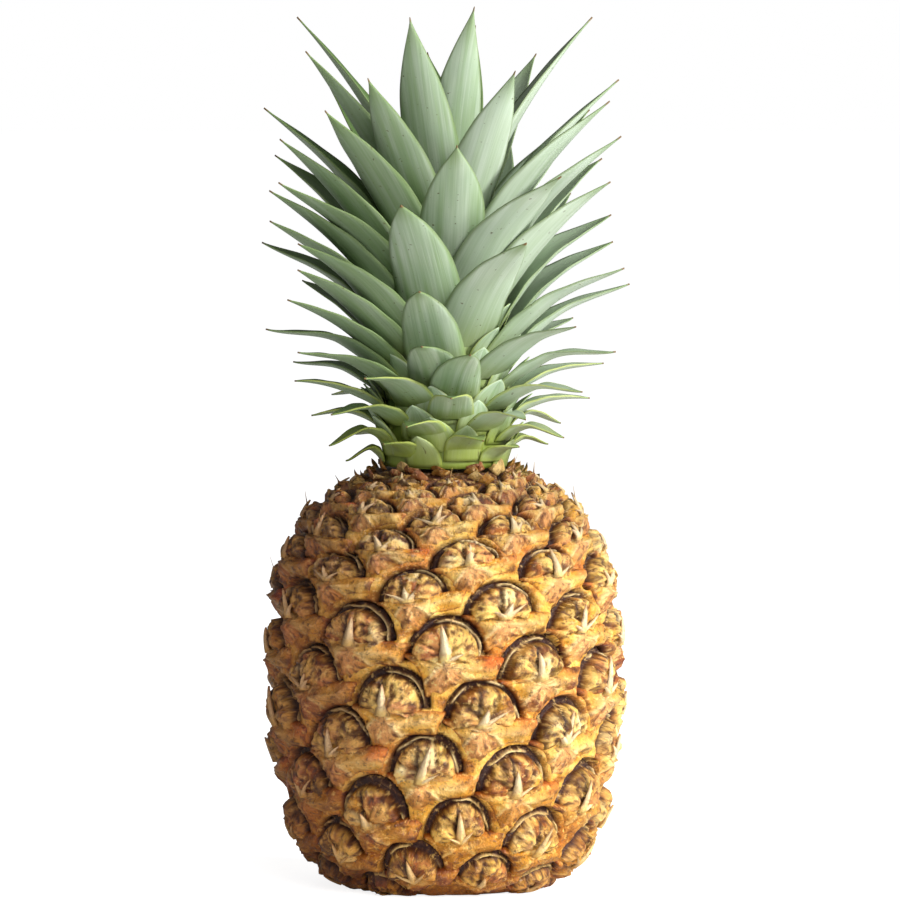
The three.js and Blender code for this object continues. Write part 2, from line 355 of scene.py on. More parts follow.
def half_disc_mesh():
    """A dome's points and faces, closed below by one face."""
    turns = len(DOME_TURNS)
    rings = [
        np.stack([r * np.cos(DOME_TURNS), DOME_SILL + r * np.sin(DOME_TURNS)], axis=1)
        for r in DOME_RINGS
    ]
    points = np.vstack([[[0, DOME_SILL]], *rings])
    faces = [(0, 1 + j, 2 + j) for j in range(turns - 1)]
    for i in range(len(rings) - 1):
        for j in range(turns - 1):
            a = 1 + i * turns + j
            faces.append((a, a + turns, a + turns + 1, a + 1))
    right = [1 + i * turns for i in range(len(rings))]
    arc = [1 + (len(rings) - 1) * turns + j for j in range(1, turns - 1)]
    left = [i * turns for i in range(len(rings), 0, -1)]
    faces.append(tuple([0, *right, *arc, *left][::-1]))
    return points, faces


dome_points, dome_faces = half_disc_mesh()
dome_r = np.hypot(dome_points[:, 0], dome_points[:, 1] - DOME_SILL)
dome_turn = np.arctan2(dome_points[:, 1] - DOME_SILL, dome_points[:, 0])


def ridge_distance(p, start, end):
    """How far points lie from a straight ridge."""
    start, end = np.asarray(start, float), np.asarray(end, float)
    d = end - start
    t = np.clip(((p - start) @ d) / (d @ d), 0, 1)
    return np.linalg.norm(p - start - t[:, None] * d, axis=1)


GOLD = linear(244, 206, 112)
PALE_GOLD = linear(255, 236, 180)
OLIVE_GOLD = linear(214, 172, 44)
PINK_TAN = linear(238, 194, 156)
ORANGE = linear(228, 150, 74)
BROWN = linear(112, 66, 30)
DARK = linear(96, 48, 12)
GOLDEN_CREAM = linear(255, 232, 180)
BEIGE = linear(234, 202, 156)
OLIVE = linear(160, 134, 62)
CREAM = linear(255, 246, 224)
RUSSET = linear(164, 98, 48)
TAN = linear(206, 154, 96)
PUFF_COLOURS = np.array([BEIGE, PINK_TAN, CREAM, GOLD, OLIVE, PALE_GOLD, TAN, PALE_GOLD])


def blend(a, b, share):
    """Colours between a and b, point by point."""
    share = np.clip(np.asarray(share, float), 0, 1)[:, None]
    return a * (1 - share) + b * share


def to_fruit(eye, p, off):
    """Eye coordinates to points on the fruit, with the eye's own turn and size."""
    cosine, sine = math.cos(eye["turn"]), math.sin(eye["turn"])
    turned = p @ np.array([[cosine, sine], [-sine, cosine]]) * eye["size"]
    a = eye["azimuth"] + turned[:, 0] / REFERENCE_RADIUS
    b = eye["level"] + turned[:, 1] / LEVEL_MM
    return on_fruit(a, b, off)


BRACT_SUNK = 4.3  # how far a bract's rim lies under the skin
BRACT_SWELL = 5.4  # how far it swells from there


def bract(batch, eye):
    """The bract below an eye: a swollen shield with two pale ridges and a keel."""
    p, d = bract_points, bract_edge
    apex = np.array([eye["apex"], DOME_SILL])
    left = ridge_distance(p, apex, apex + [-7.5 + eye["legs"], -9.5])
    right = ridge_distance(p, apex, apex + [8.5 + eye["legs"], -8.5])
    ridge = np.exp(-((np.minimum(left, right) / 0.75) ** 2))
    keel = np.exp(-(((p[:, 0] - apex[0]) / 1.3) ** 2)) * smoothstep(-12, -6, p[:, 1])
    fall = 0.8 + 1.6 * smoothstep(0.5, 4, np.minimum(bract_arch, bract_sill))
    body = BRACT_SWELL * (1 - np.exp(-d / fall))
    tilt = 0.13 * (p[:, 1] + 10)
    world = to_fruit(eye, p, np.zeros(len(p)))
    wrinkle = 0.45 * middling(world) + 0.3 * fine(world)
    off = -BRACT_SUNK + body + tilt + 0.7 * ridge + 1.0 * keel + wrinkle * smoothstep(0, 2, d)
    off += 2.2 * smoothstep(0, 7, d)
    off += eye["proud"]
    inside = (np.abs(p[:, 0] - apex[0]) < (DOME_SILL - p[:, 1]) * 0.85) * 1.0
    colour = blend(GOLD[None], PALE_GOLD[None], 0.45 + 0.4 * middling(world))
    # Painted highlight on the swollen middle of the bract, paler there, and painted shade towards
    # its rim, tan there.
    colour = blend(colour, CREAM[None], 0.6 * smoothstep(2, 6, d))
    colour = blend(colour, TAN[None], 0.6 * smoothstep(2.2, 0.8, d))
    corner = smoothstep(9.5, 15, np.abs(p[:, 0])) * smoothstep(-12, -8, p[:, 1])
    colour = blend(colour, PINK_TAN[None], 0.75 * inside * smoothstep(0.5, 3, d))
    colour = blend(colour, BROWN[None], inside * smoothstep(0.4, 1.6, fine(world)) * 0.6)
    colour = blend(colour, ORANGE[None], corner * (0.32 + 0.26 * coarse(world)))
    low = smoothstep(48, 16, world[:, 2])
    colour = blend(colour, OLIVE_GOLD[None], low * 0.85)
    colour = blend(colour, RUSSET[None], eye["russet"] * (0.4 + 0.4 * middling(world)))
    blotch = smoothstep(0.7, 1.5, middling(world * 1.7)) * smoothstep(5, 2, d)
    colour = blend(colour, BROWN[None], 0.6 * blotch)
    # Cream along the sill's lip beside the apex: the side arms of the pale star, painted there as
    # the lip's highlight.
    lip_highlight = np.exp(-((bract_sill - 1.3) / 1.0) ** 2) * smoothstep(8, 2, np.abs(p[:, 0] - apex[0]))
    colour = blend(colour, CREAM[None], 0.7 * ridge + 0.55 * keel + 0.8 * lip_highlight)
    # Russet at the rim and dark brown at the arches: the grooves' own brown, deepened as painted
    # shade.
    colour = blend(colour, RUSSET[None], 0.75 * smoothstep(1.1, 0.0, d))
    colour = blend(DARK[None], colour, smoothstep(0.0, 0.9, bract_arch))
    batch.add(to_fruit(eye, p, off), bract_faces, tint=colour, rest=world * MM)


DOME_EDGE = 12.3  # where a dome meets its groove, from the middle of its sill
PETAL_LINE = 13.2  # where the pale edge of the petals shows in the groove, raised and painted as a highlight on the lit upper right


def dome(batch, eye):
    """A half-moon dome of withered petals in its groove, with the petals' pale edge raised on the
    upper right and painted there as a highlight.
    """
    p, r = dome_points, dome_r
    world = to_fruit(eye, p, np.zeros(len(p)))
    on_dome = smoothstep(DOME_EDGE, 10.9, r)
    off = np.interp(r, list(PROFILE), list(PROFILE.values()))
    off += 1.7 * (1 - np.minimum(r / 11.8, 1) ** 2)
    # The rim of pale petal edge, raised and cream only towards the upper right: a painted highlight
    # where the light falls.
    lit_rim = 0.5 + 0.5 * np.cos(dome_turn - math.radians(50)) + 0.45 * coarse(world * 2.5)
    drift = PETAL_LINE + 0.3 * coarse(world * 4)
    lit_rim = smoothstep(0.62, 0.95, lit_rim) * np.exp(-(((r - drift) / 0.45) ** 2))
    off += 2.4 * lit_rim
    gaps = np.linalg.norm(p[:, None] - eye["cells"][None], axis=-1)
    order = np.argsort(gaps, axis=1)
    near = np.take_along_axis(gaps, order[:, :1], axis=1)[:, 0]
    second = np.take_along_axis(gaps, order[:, 1:2], axis=1)[:, 0]
    crack = np.exp(-(((second - near) / 0.8) ** 2)) * on_dome
    cell = order[:, 0]
    off += (1.7 * np.maximum(1 - (near / 5) ** 2, 0) + eye["cell_rise"][cell]) * on_dome
    furrow = np.exp(-(((p[:, 0] - eye["apex"] + 1.8) / 0.8) ** 2)) * on_dome
    furrow = furrow * smoothstep(-7, -4, p[:, 1])
    off += -1.2 * furrow - 0.5 * crack
    off += (0.25 * middling(world) + 0.3 * fine(world)) * on_dome
    off += eye["proud"] - 1.2 * smoothstep(DOME_SILL + 1.2, DOME_SILL, p[:, 1])
    colour = PUFF_COLOURS[eye["cell_colour"][cell]]
    colour = blend(colour, RUSSET[None], smoothstep(0.3, 1.4, middling(world)) * 0.6)
    colour = blend(colour, OLIVE[None], smoothstep(9.4, 11.6, r) * 0.4)
    glint = smoothstep(0.1, 1.0, fine(world * 0.6) + 0.6 * smoothstep(3.5, 1, near))
    colour = blend(colour, GOLDEN_CREAM[None], 0.8 * glint)
    colour = blend(colour, BROWN[None], 0.45 * crack)
    colour = blend(colour, DARK[None] * 0.5, 0.9 * furrow)
    colour = blend(colour, BROWN[None], smoothstep(-0.5, -1.5, fine(world)) * 0.8)
    # Dark brown in the groove round the dome: its own brown, deepened as painted shade.
    colour = blend(DARK[None], colour, smoothstep(DOME_EDGE, 11.4, r))
    colour = blend(colour, CREAM[None], lit_rim)
    batch.add(to_fruit(eye, p, off), dome_faces, tint=colour, rest=world * MM)


def tube_faces(rings, sides):
    """Faces of a closed tube of rings."""
    faces = [
        (
            i * sides + j,
            i * sides + (j + 1) % sides,
            (i + 1) * sides + (j + 1) % sides,
            (i + 1) * sides + j,
        )
        for i in range(rings - 1)
        for j in range(sides)
    ]
    faces.append(tuple(range(sides))[::-1])
    faces.append(tuple((rings - 1) * sides + j for j in range(sides)))
    return faces


def bract_tip(batch, eye, x0, lean, length, curl, width):
    """A dry tip of a bract: a keeled sliver lying up the dome, its end curling away."""
    stations = 9
    t = np.linspace(0, 1, stations)
    x = x0 + lean * t**1.3
    y = -8.0 + (2.0 + length) * t
    lift = 1.6 + 1.5 * np.sin(math.pi * t * 0.75) + curl * t**3
    half = width * (1 - t) ** 0.8 * (1 - 0.15 * np.sin(math.pi * t)) + 0.15
    sides = np.array([[-1, 0.0], [-0.35, 0.55], [0, 1.0], [0.35, 0.55], [1, 0.0], [0, -0.7]])
    points, offs = [], []
    for k in range(stations):
        across = x[k] + sides[:, 0] * half[k]
        points.append(np.stack([across, np.full(len(sides), y[k])], axis=1))
        offs.append(lift[k] + sides[:, 1] * (0.4 + 0.45 * half[k]) + eye["proud"])
    p, off = np.vstack(points), np.concatenate(offs)
    world = to_fruit(eye, p, off)
    along = np.repeat(t, len(sides))
    colour = blend(PALE_GOLD[None], CREAM[None], smoothstep(0.05, 0.35, along))
    colour = blend(colour, TAN[None], smoothstep(0.8, 1.0, along) * 0.7)
    edge = np.tile(np.abs(sides[:, 0]) + (sides[:, 1] < -0.5), stations)
    colour = blend(colour, RUSSET[None], 0.25 * (edge > 0.9))
    batch.add(world, tube_faces(stations, len(sides)), tint=colour, rest=world * MM)


def whisker(batch, root, direction, length, bend, radius):
    """A withered thread: a thin curved hair."""
    stations, sides = 8, 4
    direction = direction / np.linalg.norm(direction)
    side = np.cross(direction, bend)
    side /= np.linalg.norm(side) + 1e-9
    t = np.linspace(0, 1, stations)[:, None]
    path = root + direction * length * t + bend * length * t**2
    rings = []
    for k in range(stations):
        r = radius * (1 - 0.85 * t[k, 0])
        a = np.linspace(0, 2 * math.pi, sides, endpoint=False)[:, None]
        other = np.cross(direction, side)
        rings.append(path[k] + r * (np.cos(a) * side + np.sin(a) * other))
    world = np.vstack(rings)
    world[:, 2] = np.maximum(world[:, 2], LOWEST_HAIR)
    colour = blend(RUSSET[None], PALE_GOLD[None], np.repeat(t[:, 0], sides))
    batch.add(world, tube_faces(stations, sides), tint=colour, rest=world * MM)


PUFFS = 6  # withered petals on each dome


def eyes():
    """Each eye on the side of the fruit, with its own small differences."""
    found = []
    for n in range(-40, 140):
        azimuth = FIRST_EYE_AZIMUTH + n * GOLDEN_ANGLE
        rise = rise_at(n + EYE_LEAN * math.sin(azimuth))
        if not SIDE_START + 0.1 < rise < SIDE_END - 0.1:
            continue
        wobble = rng.normal(size=12)  # the last isn't used, but later draws count on it
        turns = (np.arange(PUFFS) + rng.uniform(0.05, 0.95, PUFFS)) / PUFFS * math.pi
        reach = 12.2 * np.sqrt(rng.uniform(0.12, 0.85, PUFFS))
        cells = np.stack([reach * np.cos(turns), DOME_SILL + reach * np.sin(turns)], axis=1)
        found.append(
            {
                "azimuth": azimuth + 0.012 * wobble[0],
                "level": n + 0.4 * wobble[1],
                "turn": math.radians(4) * np.clip(wobble[2], -1.6, 1.6),
                "size": 1 + 0.03 * np.clip(wobble[3], -1.5, 1.5),
                "apex": 0.9 * wobble[4],
                "legs": 1.2 * wobble[5],
                "proud": 0.35 * np.clip(wobble[6], -1.5, 1.5),
                "russet": float(np.clip(0.18 + 0.25 * wobble[7], 0, 0.7)),
                "tip_lean": 2.0 * wobble[8],
                "tip_length": 7.8 + 2.4 * np.clip(wobble[9], -1.5, 1.5),
                "tip_curl": 0.2 + 1.3 * abs(wobble[10]),
                "cells": cells,
                "cell_rise": rng.uniform(-0.8, 0.9, PUFFS),
                "cell_colour": rng.integers(0, len(PUFF_COLOURS), PUFFS),
            }
        )
    return found


all_eyes = eyes()


MAIN_TIP, SIDE_TIP = 2.8, 2.4  # half widths of a bract's dry tips


def build_fruit():
    """The bracts, the domes and the dry tips with a few hairs, as three pieces."""
    bracts, domes, dry = Batch(), Batch(), Batch()
    for eye in all_eyes:
        bract(bracts, eye)
        dome(domes, eye)
        bract_tip(
            dry, eye, eye["apex"], eye["tip_lean"], eye["tip_length"], eye["tip_curl"], MAIN_TIP
        )
        for side in (-1, 1):
            if rng.uniform() < 0.6:
                lean = side * rng.uniform(4, 9)
                length = rng.uniform(1.5, 5)
                bract_tip(dry, eye, eye["apex"], lean, length, rng.uniform(-1, 1), SIDE_TIP)
        if rng.uniform() < 0.3:
            start = np.array([[eye["apex"], -3.0], [eye["apex"], 1.0]])
            low, high = to_fruit(eye, start, np.array([1.5, 3.0]))
            outward = low - [0, 0, low[2]]
            outward /= np.linalg.norm(outward)
            bend = rng.normal(size=3) * 0.4 + [0, 0, 0.3]
            heading = (high - low) / 4 + outward * rng.uniform(0.1, 0.7)
            whisker(dry, low, heading, rng.uniform(3, 6), bend, 0.4)
    return bracts.build("fruit_bracts"), domes.build("fruit_eyes"), dry.build("fruit_bract_tips")


# Radius and height of the rings of the underside, from the flat spot in to the stalk's scar.
SCAR_RINGS = [(31, 0.25), (24, 0.4), (17, 0.35), (14.5, 0.1), (13, 0.9), (8, 1.4), (3, 1.2)]
SKIN_COLUMNS, SKIN_ROWS = 330, 250


def build_core_surface():
    """The skin between the bracts, sunk along the arches, with the flat spot and stalk scar."""
    count, levels = SKIN_COLUMNS, SKIN_ROWS
    azimuths = np.linspace(0, 2 * math.pi, count, endpoint=False)
    rises = np.linspace(SIDE_START + 0.01, SIDE_END, levels)
    table = np.linspace(-60, 150, 4000)
    level = np.interp(rises, rise_at(table), table)
    a, b = np.meshgrid(azimuths, level)
    b = b - EYE_LEAN * np.sin(a)
    sunk = np.zeros(a.shape)
    for eye in all_eyes:
        du = (a - eye["azimuth"] + math.pi) % (2 * math.pi) - math.pi
        dv = (b - eye["level"]) * LEVEL_MM
        away = np.hypot(du * REFERENCE_RADIUS, dv - DOME_SILL) - ARCH * eye["size"]
        sunk = np.maximum(sunk, smoothstep(0.5, -0.9, away) * (dv > DOME_SILL - 1))
    skin = on_fruit(a, b, np.zeros(a.shape))
    off = -1.2 + 0.4 * middling(skin) - 4.8 * sunk
    off = off - 2.0 * smoothstep(SIDE_END - 0.25, SIDE_END - 0.05, rises)[:, None]
    side = on_fruit(a, b, off).reshape(-1, 3)
    bottom = []
    for r, z in SCAR_RINGS[::-1]:
        wobble = 1 + 0.02 * np.sin(5 * azimuths + r) + 0.015 * np.sin(11 * azimuths)
        bottom.append(place(azimuths, r * wobble, np.full(count, z)))
    vertices = np.vstack([*bottom, side, [[0, 0, 1.1]], [[0, 0, FRUIT_HEIGHT - 2]]])
    rows = len(SCAR_RINGS) + levels
    faces = []
    for i in range(rows - 1):
        for j in range(count):
            k = (j + 1) % count
            faces.append(
                (i * count + j, i * count + k, (i + 1) * count + k, (i + 1) * count + j)
            )
    lowest, highest = len(vertices) - 2, len(vertices) - 1
    top = (rows - 1) * count
    for j in range(count):
        k = (j + 1) % count
        faces.append((lowest, k, j))
        faces.append((highest, top + j, top + k))
    is_side = np.zeros(len(vertices))
    is_side[len(SCAR_RINGS) * count : rows * count] = 1
    dark = np.zeros(len(vertices))
    dark[len(SCAR_RINGS) * count : rows * count] = sunk.ravel()
    radius = np.hypot(vertices[:, 0], vertices[:, 1])
    colour = blend(GOLD[None], PALE_GOLD[None], 0.3 + 0.3 * middling(vertices))
    colour = blend(colour, ORANGE[None], smoothstep(0.2, 1.4, coarse(vertices)) * 0.5)
    colour = blend(colour, OLIVE_GOLD[None], smoothstep(42, 14, vertices[:, 2]) * 0.7)
    colour = blend(colour, RUSSET[None], smoothstep(-0.2, -1.4, middling(vertices)) * 0.5)
    colour = blend(colour, BROWN[None], smoothstep(132, 146, vertices[:, 2]) * 0.8)
    # Dark brown in the sunk grooves along the arches: their own brown, deepened as painted shade.
    colour = blend(colour, DARK[None], dark)
    flat = 1 - is_side
    colour = blend(colour, linear(150, 104, 48)[None], flat * smoothstep(FLAT_RADIUS, 28, radius))
    colour = blend(colour, linear(206, 178, 124)[None], flat * smoothstep(14.8, 13, radius))
    return make_object("fruit_skin", vertices, faces, {"rest": vertices * MM}, colour)


def sheet_faces(stations, columns):
    """Faces of two sheets of points closed round their rim."""
    n = stations * columns
    faces = []
    for r in range(stations - 1):
        for q in range(columns - 1):
            a = r * columns + q
            faces.append((a, a + 1, a + columns + 1, a + columns))
            faces.append((n + a, n + a + columns, n + a + columns + 1, n + a + 1))
    rim = (
        [r * columns for r in range(stations)]
        + [(stations - 1) * columns + q for q in range(1, columns)]
        + [r * columns + columns - 1 for r in range(stations - 2, -1, -1)]
        + [q for q in range(columns - 2, 0, -1)]
    )
    for a, b in zip(rim, rim[1:] + rim[:1]):
        faces.append((a, b, n + b, n + a))
    return faces


COLLAR_COUNT = 60
COLLAR_COLOURS = [OLIVE_GOLD, PALE_GOLD, TAN, OLIVE]
COLLAR_SHARES = [0.4, 0.65, 0.85]  # where each colour but the last ends, from 0 to 1


def build_collar():
    """Small dry bracts round the foot of the crown."""
    batch = Batch()
    for i in range(COLLAR_COUNT):
        t = i / (COLLAR_COUNT - 1)
        azimuth = i * GOLDEN_ANGLE + 0.1 * rng.normal()
        radius = 33.5 - 10.5 * t + 0.6 * rng.normal()
        ground = np.interp(radius, [23, 25, 33, 40], [152.5, 152, 146.5, 142])
        pitch = math.radians(4 + 40 * t + 10 * rng.normal())
        length = rng.uniform(4, 6.5) * (1.0 - 0.3 * t)
        half = rng.uniform(2.2, 3.8)
        curl = rng.uniform(-0.4, 0.7)
        stations, columns = 7, 7
        s, c = np.meshgrid(np.linspace(0, 1, stations), np.linspace(-1, 1, columns), indexing="ij")
        width = half * (1 - s) ** 0.75 * (1 + 0.5 * s)
        bend = pitch + curl * s
        out = radius - 1.5 + np.cos(bend) * length * s
        up = ground - 1.2 + np.sin(bend) * length * s + 0.35 * (c**2) * half
        up = up + 0.5 * np.sin(3 * s + 5 * c + i)
        side = c * width * (1 + 0.1 * np.sin(9 * s + i))
        sheets = []
        for face in (-1, 1):
            lift = face * 0.28 * (1 - 0.9 * c**2) * (1 - s) ** 0.3
            forward = out - np.sin(bend) * lift
            z = up + np.cos(bend) * lift
            sheets.append(np.stack([side, -forward, z], axis=-1).reshape(-1, 3))
        cosine, sine = math.cos(azimuth), math.sin(azimuth)
        turn = np.array([[cosine, sine, 0], [-sine, cosine, 0], [0, 0, 1]])
        vertices = np.vstack(sheets) @ turn
        faces = sheet_faces(stations, columns)
        base = COLLAR_COLOURS[np.searchsorted(COLLAR_SHARES, rng.uniform(0, 1), side="right")]
        along = np.tile(s.reshape(-1), 2)
        colour = blend(base[None], BROWN[None], smoothstep(0.6, 1, along) * 0.35)
        # Painted shade: darker towards the root, in the crevice it rises from.
        colour = blend(colour, DARK[None], smoothstep(0.25, 0, along) * 0.6)
        colour = blend(colour, CREAM[None], 0.3 * smoothstep(0.6, 1.4, fine(vertices)))
        batch.add(vertices, faces, tint=colour, rest=vertices * MM)
    return batch.build("fruit_top_bracts")


# ---- The crown ----


def midrib(rank):
    """Points (radius, height) along a leaf's midrib, and the length up to each."""
    t = rank / RANKS
    table = np.linspace(0, math.pi / 2, 1001)
    ellipse = np.stack(
        [STEM_RADIUS * np.cos(table), CROWN_BASE + STEM_HEIGHT * np.sin(table)], axis=1
    )
    run = np.concatenate([[0], np.cumsum(np.linalg.norm(np.diff(ellipse, axis=0), axis=1))])
    root = np.array([np.interp(t * run[-1], run, ellipse[:, k]) for k in (0, 1)])
    tip = spline(TIPS, min((rank + REACH.get(rank, 0)) / RANKS, 1))
    chord = tip - root
    share = min(rank, SCALES) / SCALES
    bend = BEND_LOWEST + (BEND_LEAVES - BEND_LOWEST) * share
    turn = np.array([[math.cos(bend), -math.sin(bend)], [math.sin(bend), math.cos(bend)]])
    middle = root + 0.5 * turn @ chord
    u = np.linspace(0, 1, 401)[:, None]
    path = (1 - u) ** 2 * root + 2 * u * (1 - u) * middle + u**2 * tip
    length = np.concatenate([[0], np.cumsum(np.linalg.norm(np.diff(path, axis=0), axis=1))])
    return path, length


def taper(s, rank):
    """The share of a leaf's half width at s along it: the lower leaves taper sooner."""
    power = 1.3 + 0.6 * smoothstep(34, 62, rank)
    lower = (0.92 + 0.55 * s) * (1 - s**power) ** 0.95
    upper = (0.8 + 0.77 * s) * (1 - s**2.4) ** 1.35
    share = smoothstep(46, 64, rank)
    return (lower + (upper - lower) * share) * (1 + 0.17 * smoothstep(74, 79, rank))


LEAF_STATIONS, LEAF_COLUMNS = 40, 13


def side_shade(azimuth):
    """1 on the left, where the leaves are painted in shade, to -1 on the right, where they are
    painted in light.
    """
    side = math.sin(azimuth)
    return smoothstep(0.1, -0.9, side) - smoothstep(0.1, 0.8, side)


def leaf_shell(rank):
    """Vertices, faces and coordinates of a leaf: a channelled blade, closed all round."""
    wobble = np.random.default_rng(1000 + rank).normal(size=3)
    path, length = midrib(rank)
    s = np.linspace(0, 1, LEAF_STATIONS) ** 0.9
    at = s * length[-1]
    radius, height = (np.interp(at, length, path[:, k]) for k in (0, 1))
    slope = np.gradient(path, axis=0)
    slope /= np.linalg.norm(slope, axis=1, keepdims=True)
    tr, tz = (np.interp(at, length, slope[:, k]) for k in (0, 1))
    half = spline(HALF_WIDTHS, rank / RANKS)[0] * taper(s, rank)
    half[-1] = 0.15
    wrap = np.minimum(half / radius, WIDEST_WRAP)
    azimuth = FIRST_LEAF_AZIMUTH + rank * GOLDEN_ANGLE
    azimuth += math.radians(PUSHED.get(rank, 0))
    hook = smoothstep(0.45, 1.0, s) * np.clip(1 + 0.8 * wobble[2], -0.2, 2.4)
    hook = hook * smoothstep(84, 60, rank) * math.sin(azimuth) ** 2
    radius, height = radius + 1.2 * hook, height - 2.6 * hook
    azimuth = azimuth + 0.05 * np.clip(wobble[0], -1.5, 1.5) * s**2
    c = np.linspace(-1, 1, LEAF_COLUMNS)
    channel = 0.2 * half * smoothstep(0, 0.35, s)
    thick = np.interp(s, [0, 0.33, 0.8, 1], [1.1, 1.5, 1.1, 0.6])
    sheets = []
    for face in (-1, 1):
        rows = []
        for k in range(LEAF_STATIONS):
            lift = channel[k] * (c**2 - 0.25)
            lift = lift + face * 0.5 * thick[k] * (1 - 0.6 * c**2)
            ripple = 0.25 * np.sin(26 * s[k] + 7 * wobble[1]) * c**3 * channel[k] / 3
            r = radius[k] - tz[k] * (lift + ripple)
            z = height[k] + tr[k] * (lift + ripple)
            rows.append(place(azimuth[k] + c * wrap[k], r, z))
        sheets.append(np.vstack(rows))
    n = LEAF_STATIONS * LEAF_COLUMNS
    vertices = np.vstack(sheets)
    along = np.tile(np.repeat(s, LEAF_COLUMNS), 2)
    across = np.tile(np.tile(c, LEAF_STATIONS), 2)
    width = np.tile(np.repeat(half, LEAF_COLUMNS), 2)
    run = np.stack([across * width, along * length[-1], np.full(2 * n, rank * 37.0)], axis=1)
    values = {
        "along": along,
        "across": across,
        "outer": np.repeat([1.0, 0.0], n),
        "run": run * MM,
        "seed": np.full(2 * n, (rank * 0.618) % 1),
        "shade": np.full(2 * n, side_shade(azimuth[0])),
    }
    return vertices, sheet_faces(LEAF_STATIONS, LEAF_COLUMNS), values


SMALL_SCALES = 64


def small_scale(i):
    """One of the small scales that clothe the stem between the basal leaves."""
    wobble = np.random.default_rng(3000 + i).normal(size=4)
    t = i / SMALL_SCALES
    stations, columns = 12, 9
    azimuth = 1.1 + i * GOLDEN_ANGLE + 0.15 * wobble[0]
    foot = CROWN_BASE - 2 + 50 * t**1.1
    length = 13 + 9 * t + 2 * wobble[1]
    widest = 7.5 + 2 * t + 0.6 * wobble[2]
    flare = 0.5 + 0.15 * wobble[3]
    s, c = np.meshgrid(np.linspace(0, 1, stations), np.linspace(-1, 1, columns), indexing="ij")
    height = foot + length * s * (1 - 0.1 * s)
    stem = STEM_RADIUS * np.sqrt(np.clip(1 - ((foot - CROWN_BASE) / STEM_HEIGHT) ** 2, 0, 1))
    radius = stem - 0.8 + 2.2 * np.sin(math.pi * 0.5 * s) + flare * length * s**2.2 * 0.6
    half = widest * (0.95 + 0.4 * s) * (1 - s**1.7)
    half[-1] = 0.15
    turn = c * np.minimum(half / radius, 0.7)
    sheets = []
    for face in (-1, 1):
        lift = face * 0.45 * (1 - 0.85 * c**2)
        sheets.append(place(azimuth + turn, radius - lift, height + 0.25 * half * c**2 * s))
    n = stations * columns
    along, across = np.tile(0.35 * s.ravel(), 2), np.tile(c.ravel(), 2)
    values = {
        "along": along,
        "across": across,
        "outer": np.repeat([1.0, 0.0], n),
        "run": np.stack([across * widest, along * length, np.full(2 * n, i * 31.0)], 1) * MM,
        "seed": np.full(2 * n, (i * 0.618) % 1),
        "shade": np.full(2 * n, -0.1),
    }
    return np.vstack([q.reshape(-1, 3) for q in sheets]), sheet_faces(stations, columns), values


CORE_RADIUS, CORE_HEIGHT = 21.9, 62.9  # the stem that the roots of the leaves stand off
CORE_RINGS, CORE_SIDES = 24, 48


def build_crown_stem():
    """The stem, its basal leaves and the small scales between them, as one piece."""
    batch = Batch()
    profile = [(CORE_RADIUS, FRUIT_HEIGHT + 0.35), (CORE_RADIUS, CROWN_BASE)]
    for i in range(1, CORE_RINGS):
        a = i / CORE_RINGS * math.pi / 2
        profile.append((CORE_RADIUS * math.cos(a), CROWN_BASE + CORE_HEIGHT * math.sin(a)))
    sides = CORE_SIDES
    angles = np.linspace(0, 2 * math.pi, sides, endpoint=False)
    rings = [place(angles, r, np.full(sides, z)) for r, z in profile]
    vertices = np.vstack(rings)
    n = len(vertices)
    batch.add(
        vertices,
        tube_faces(len(profile), sides),
        along=np.full(n, 0.2),
        across=np.zeros(n),
        outer=np.zeros(n),
        run=vertices * MM,
        seed=np.zeros(n),
        shade=np.zeros(n),
    )
    for rank in range(SCALES):
        vertices, faces, values = leaf_shell(rank)
        batch.add(vertices, faces, **values)
    for i in range(SMALL_SCALES):
        vertices, faces, values = small_scale(i)
        batch.add(vertices, faces, **values)
    return batch.build("crown_stem_and_scales")


# ---- Materials ----


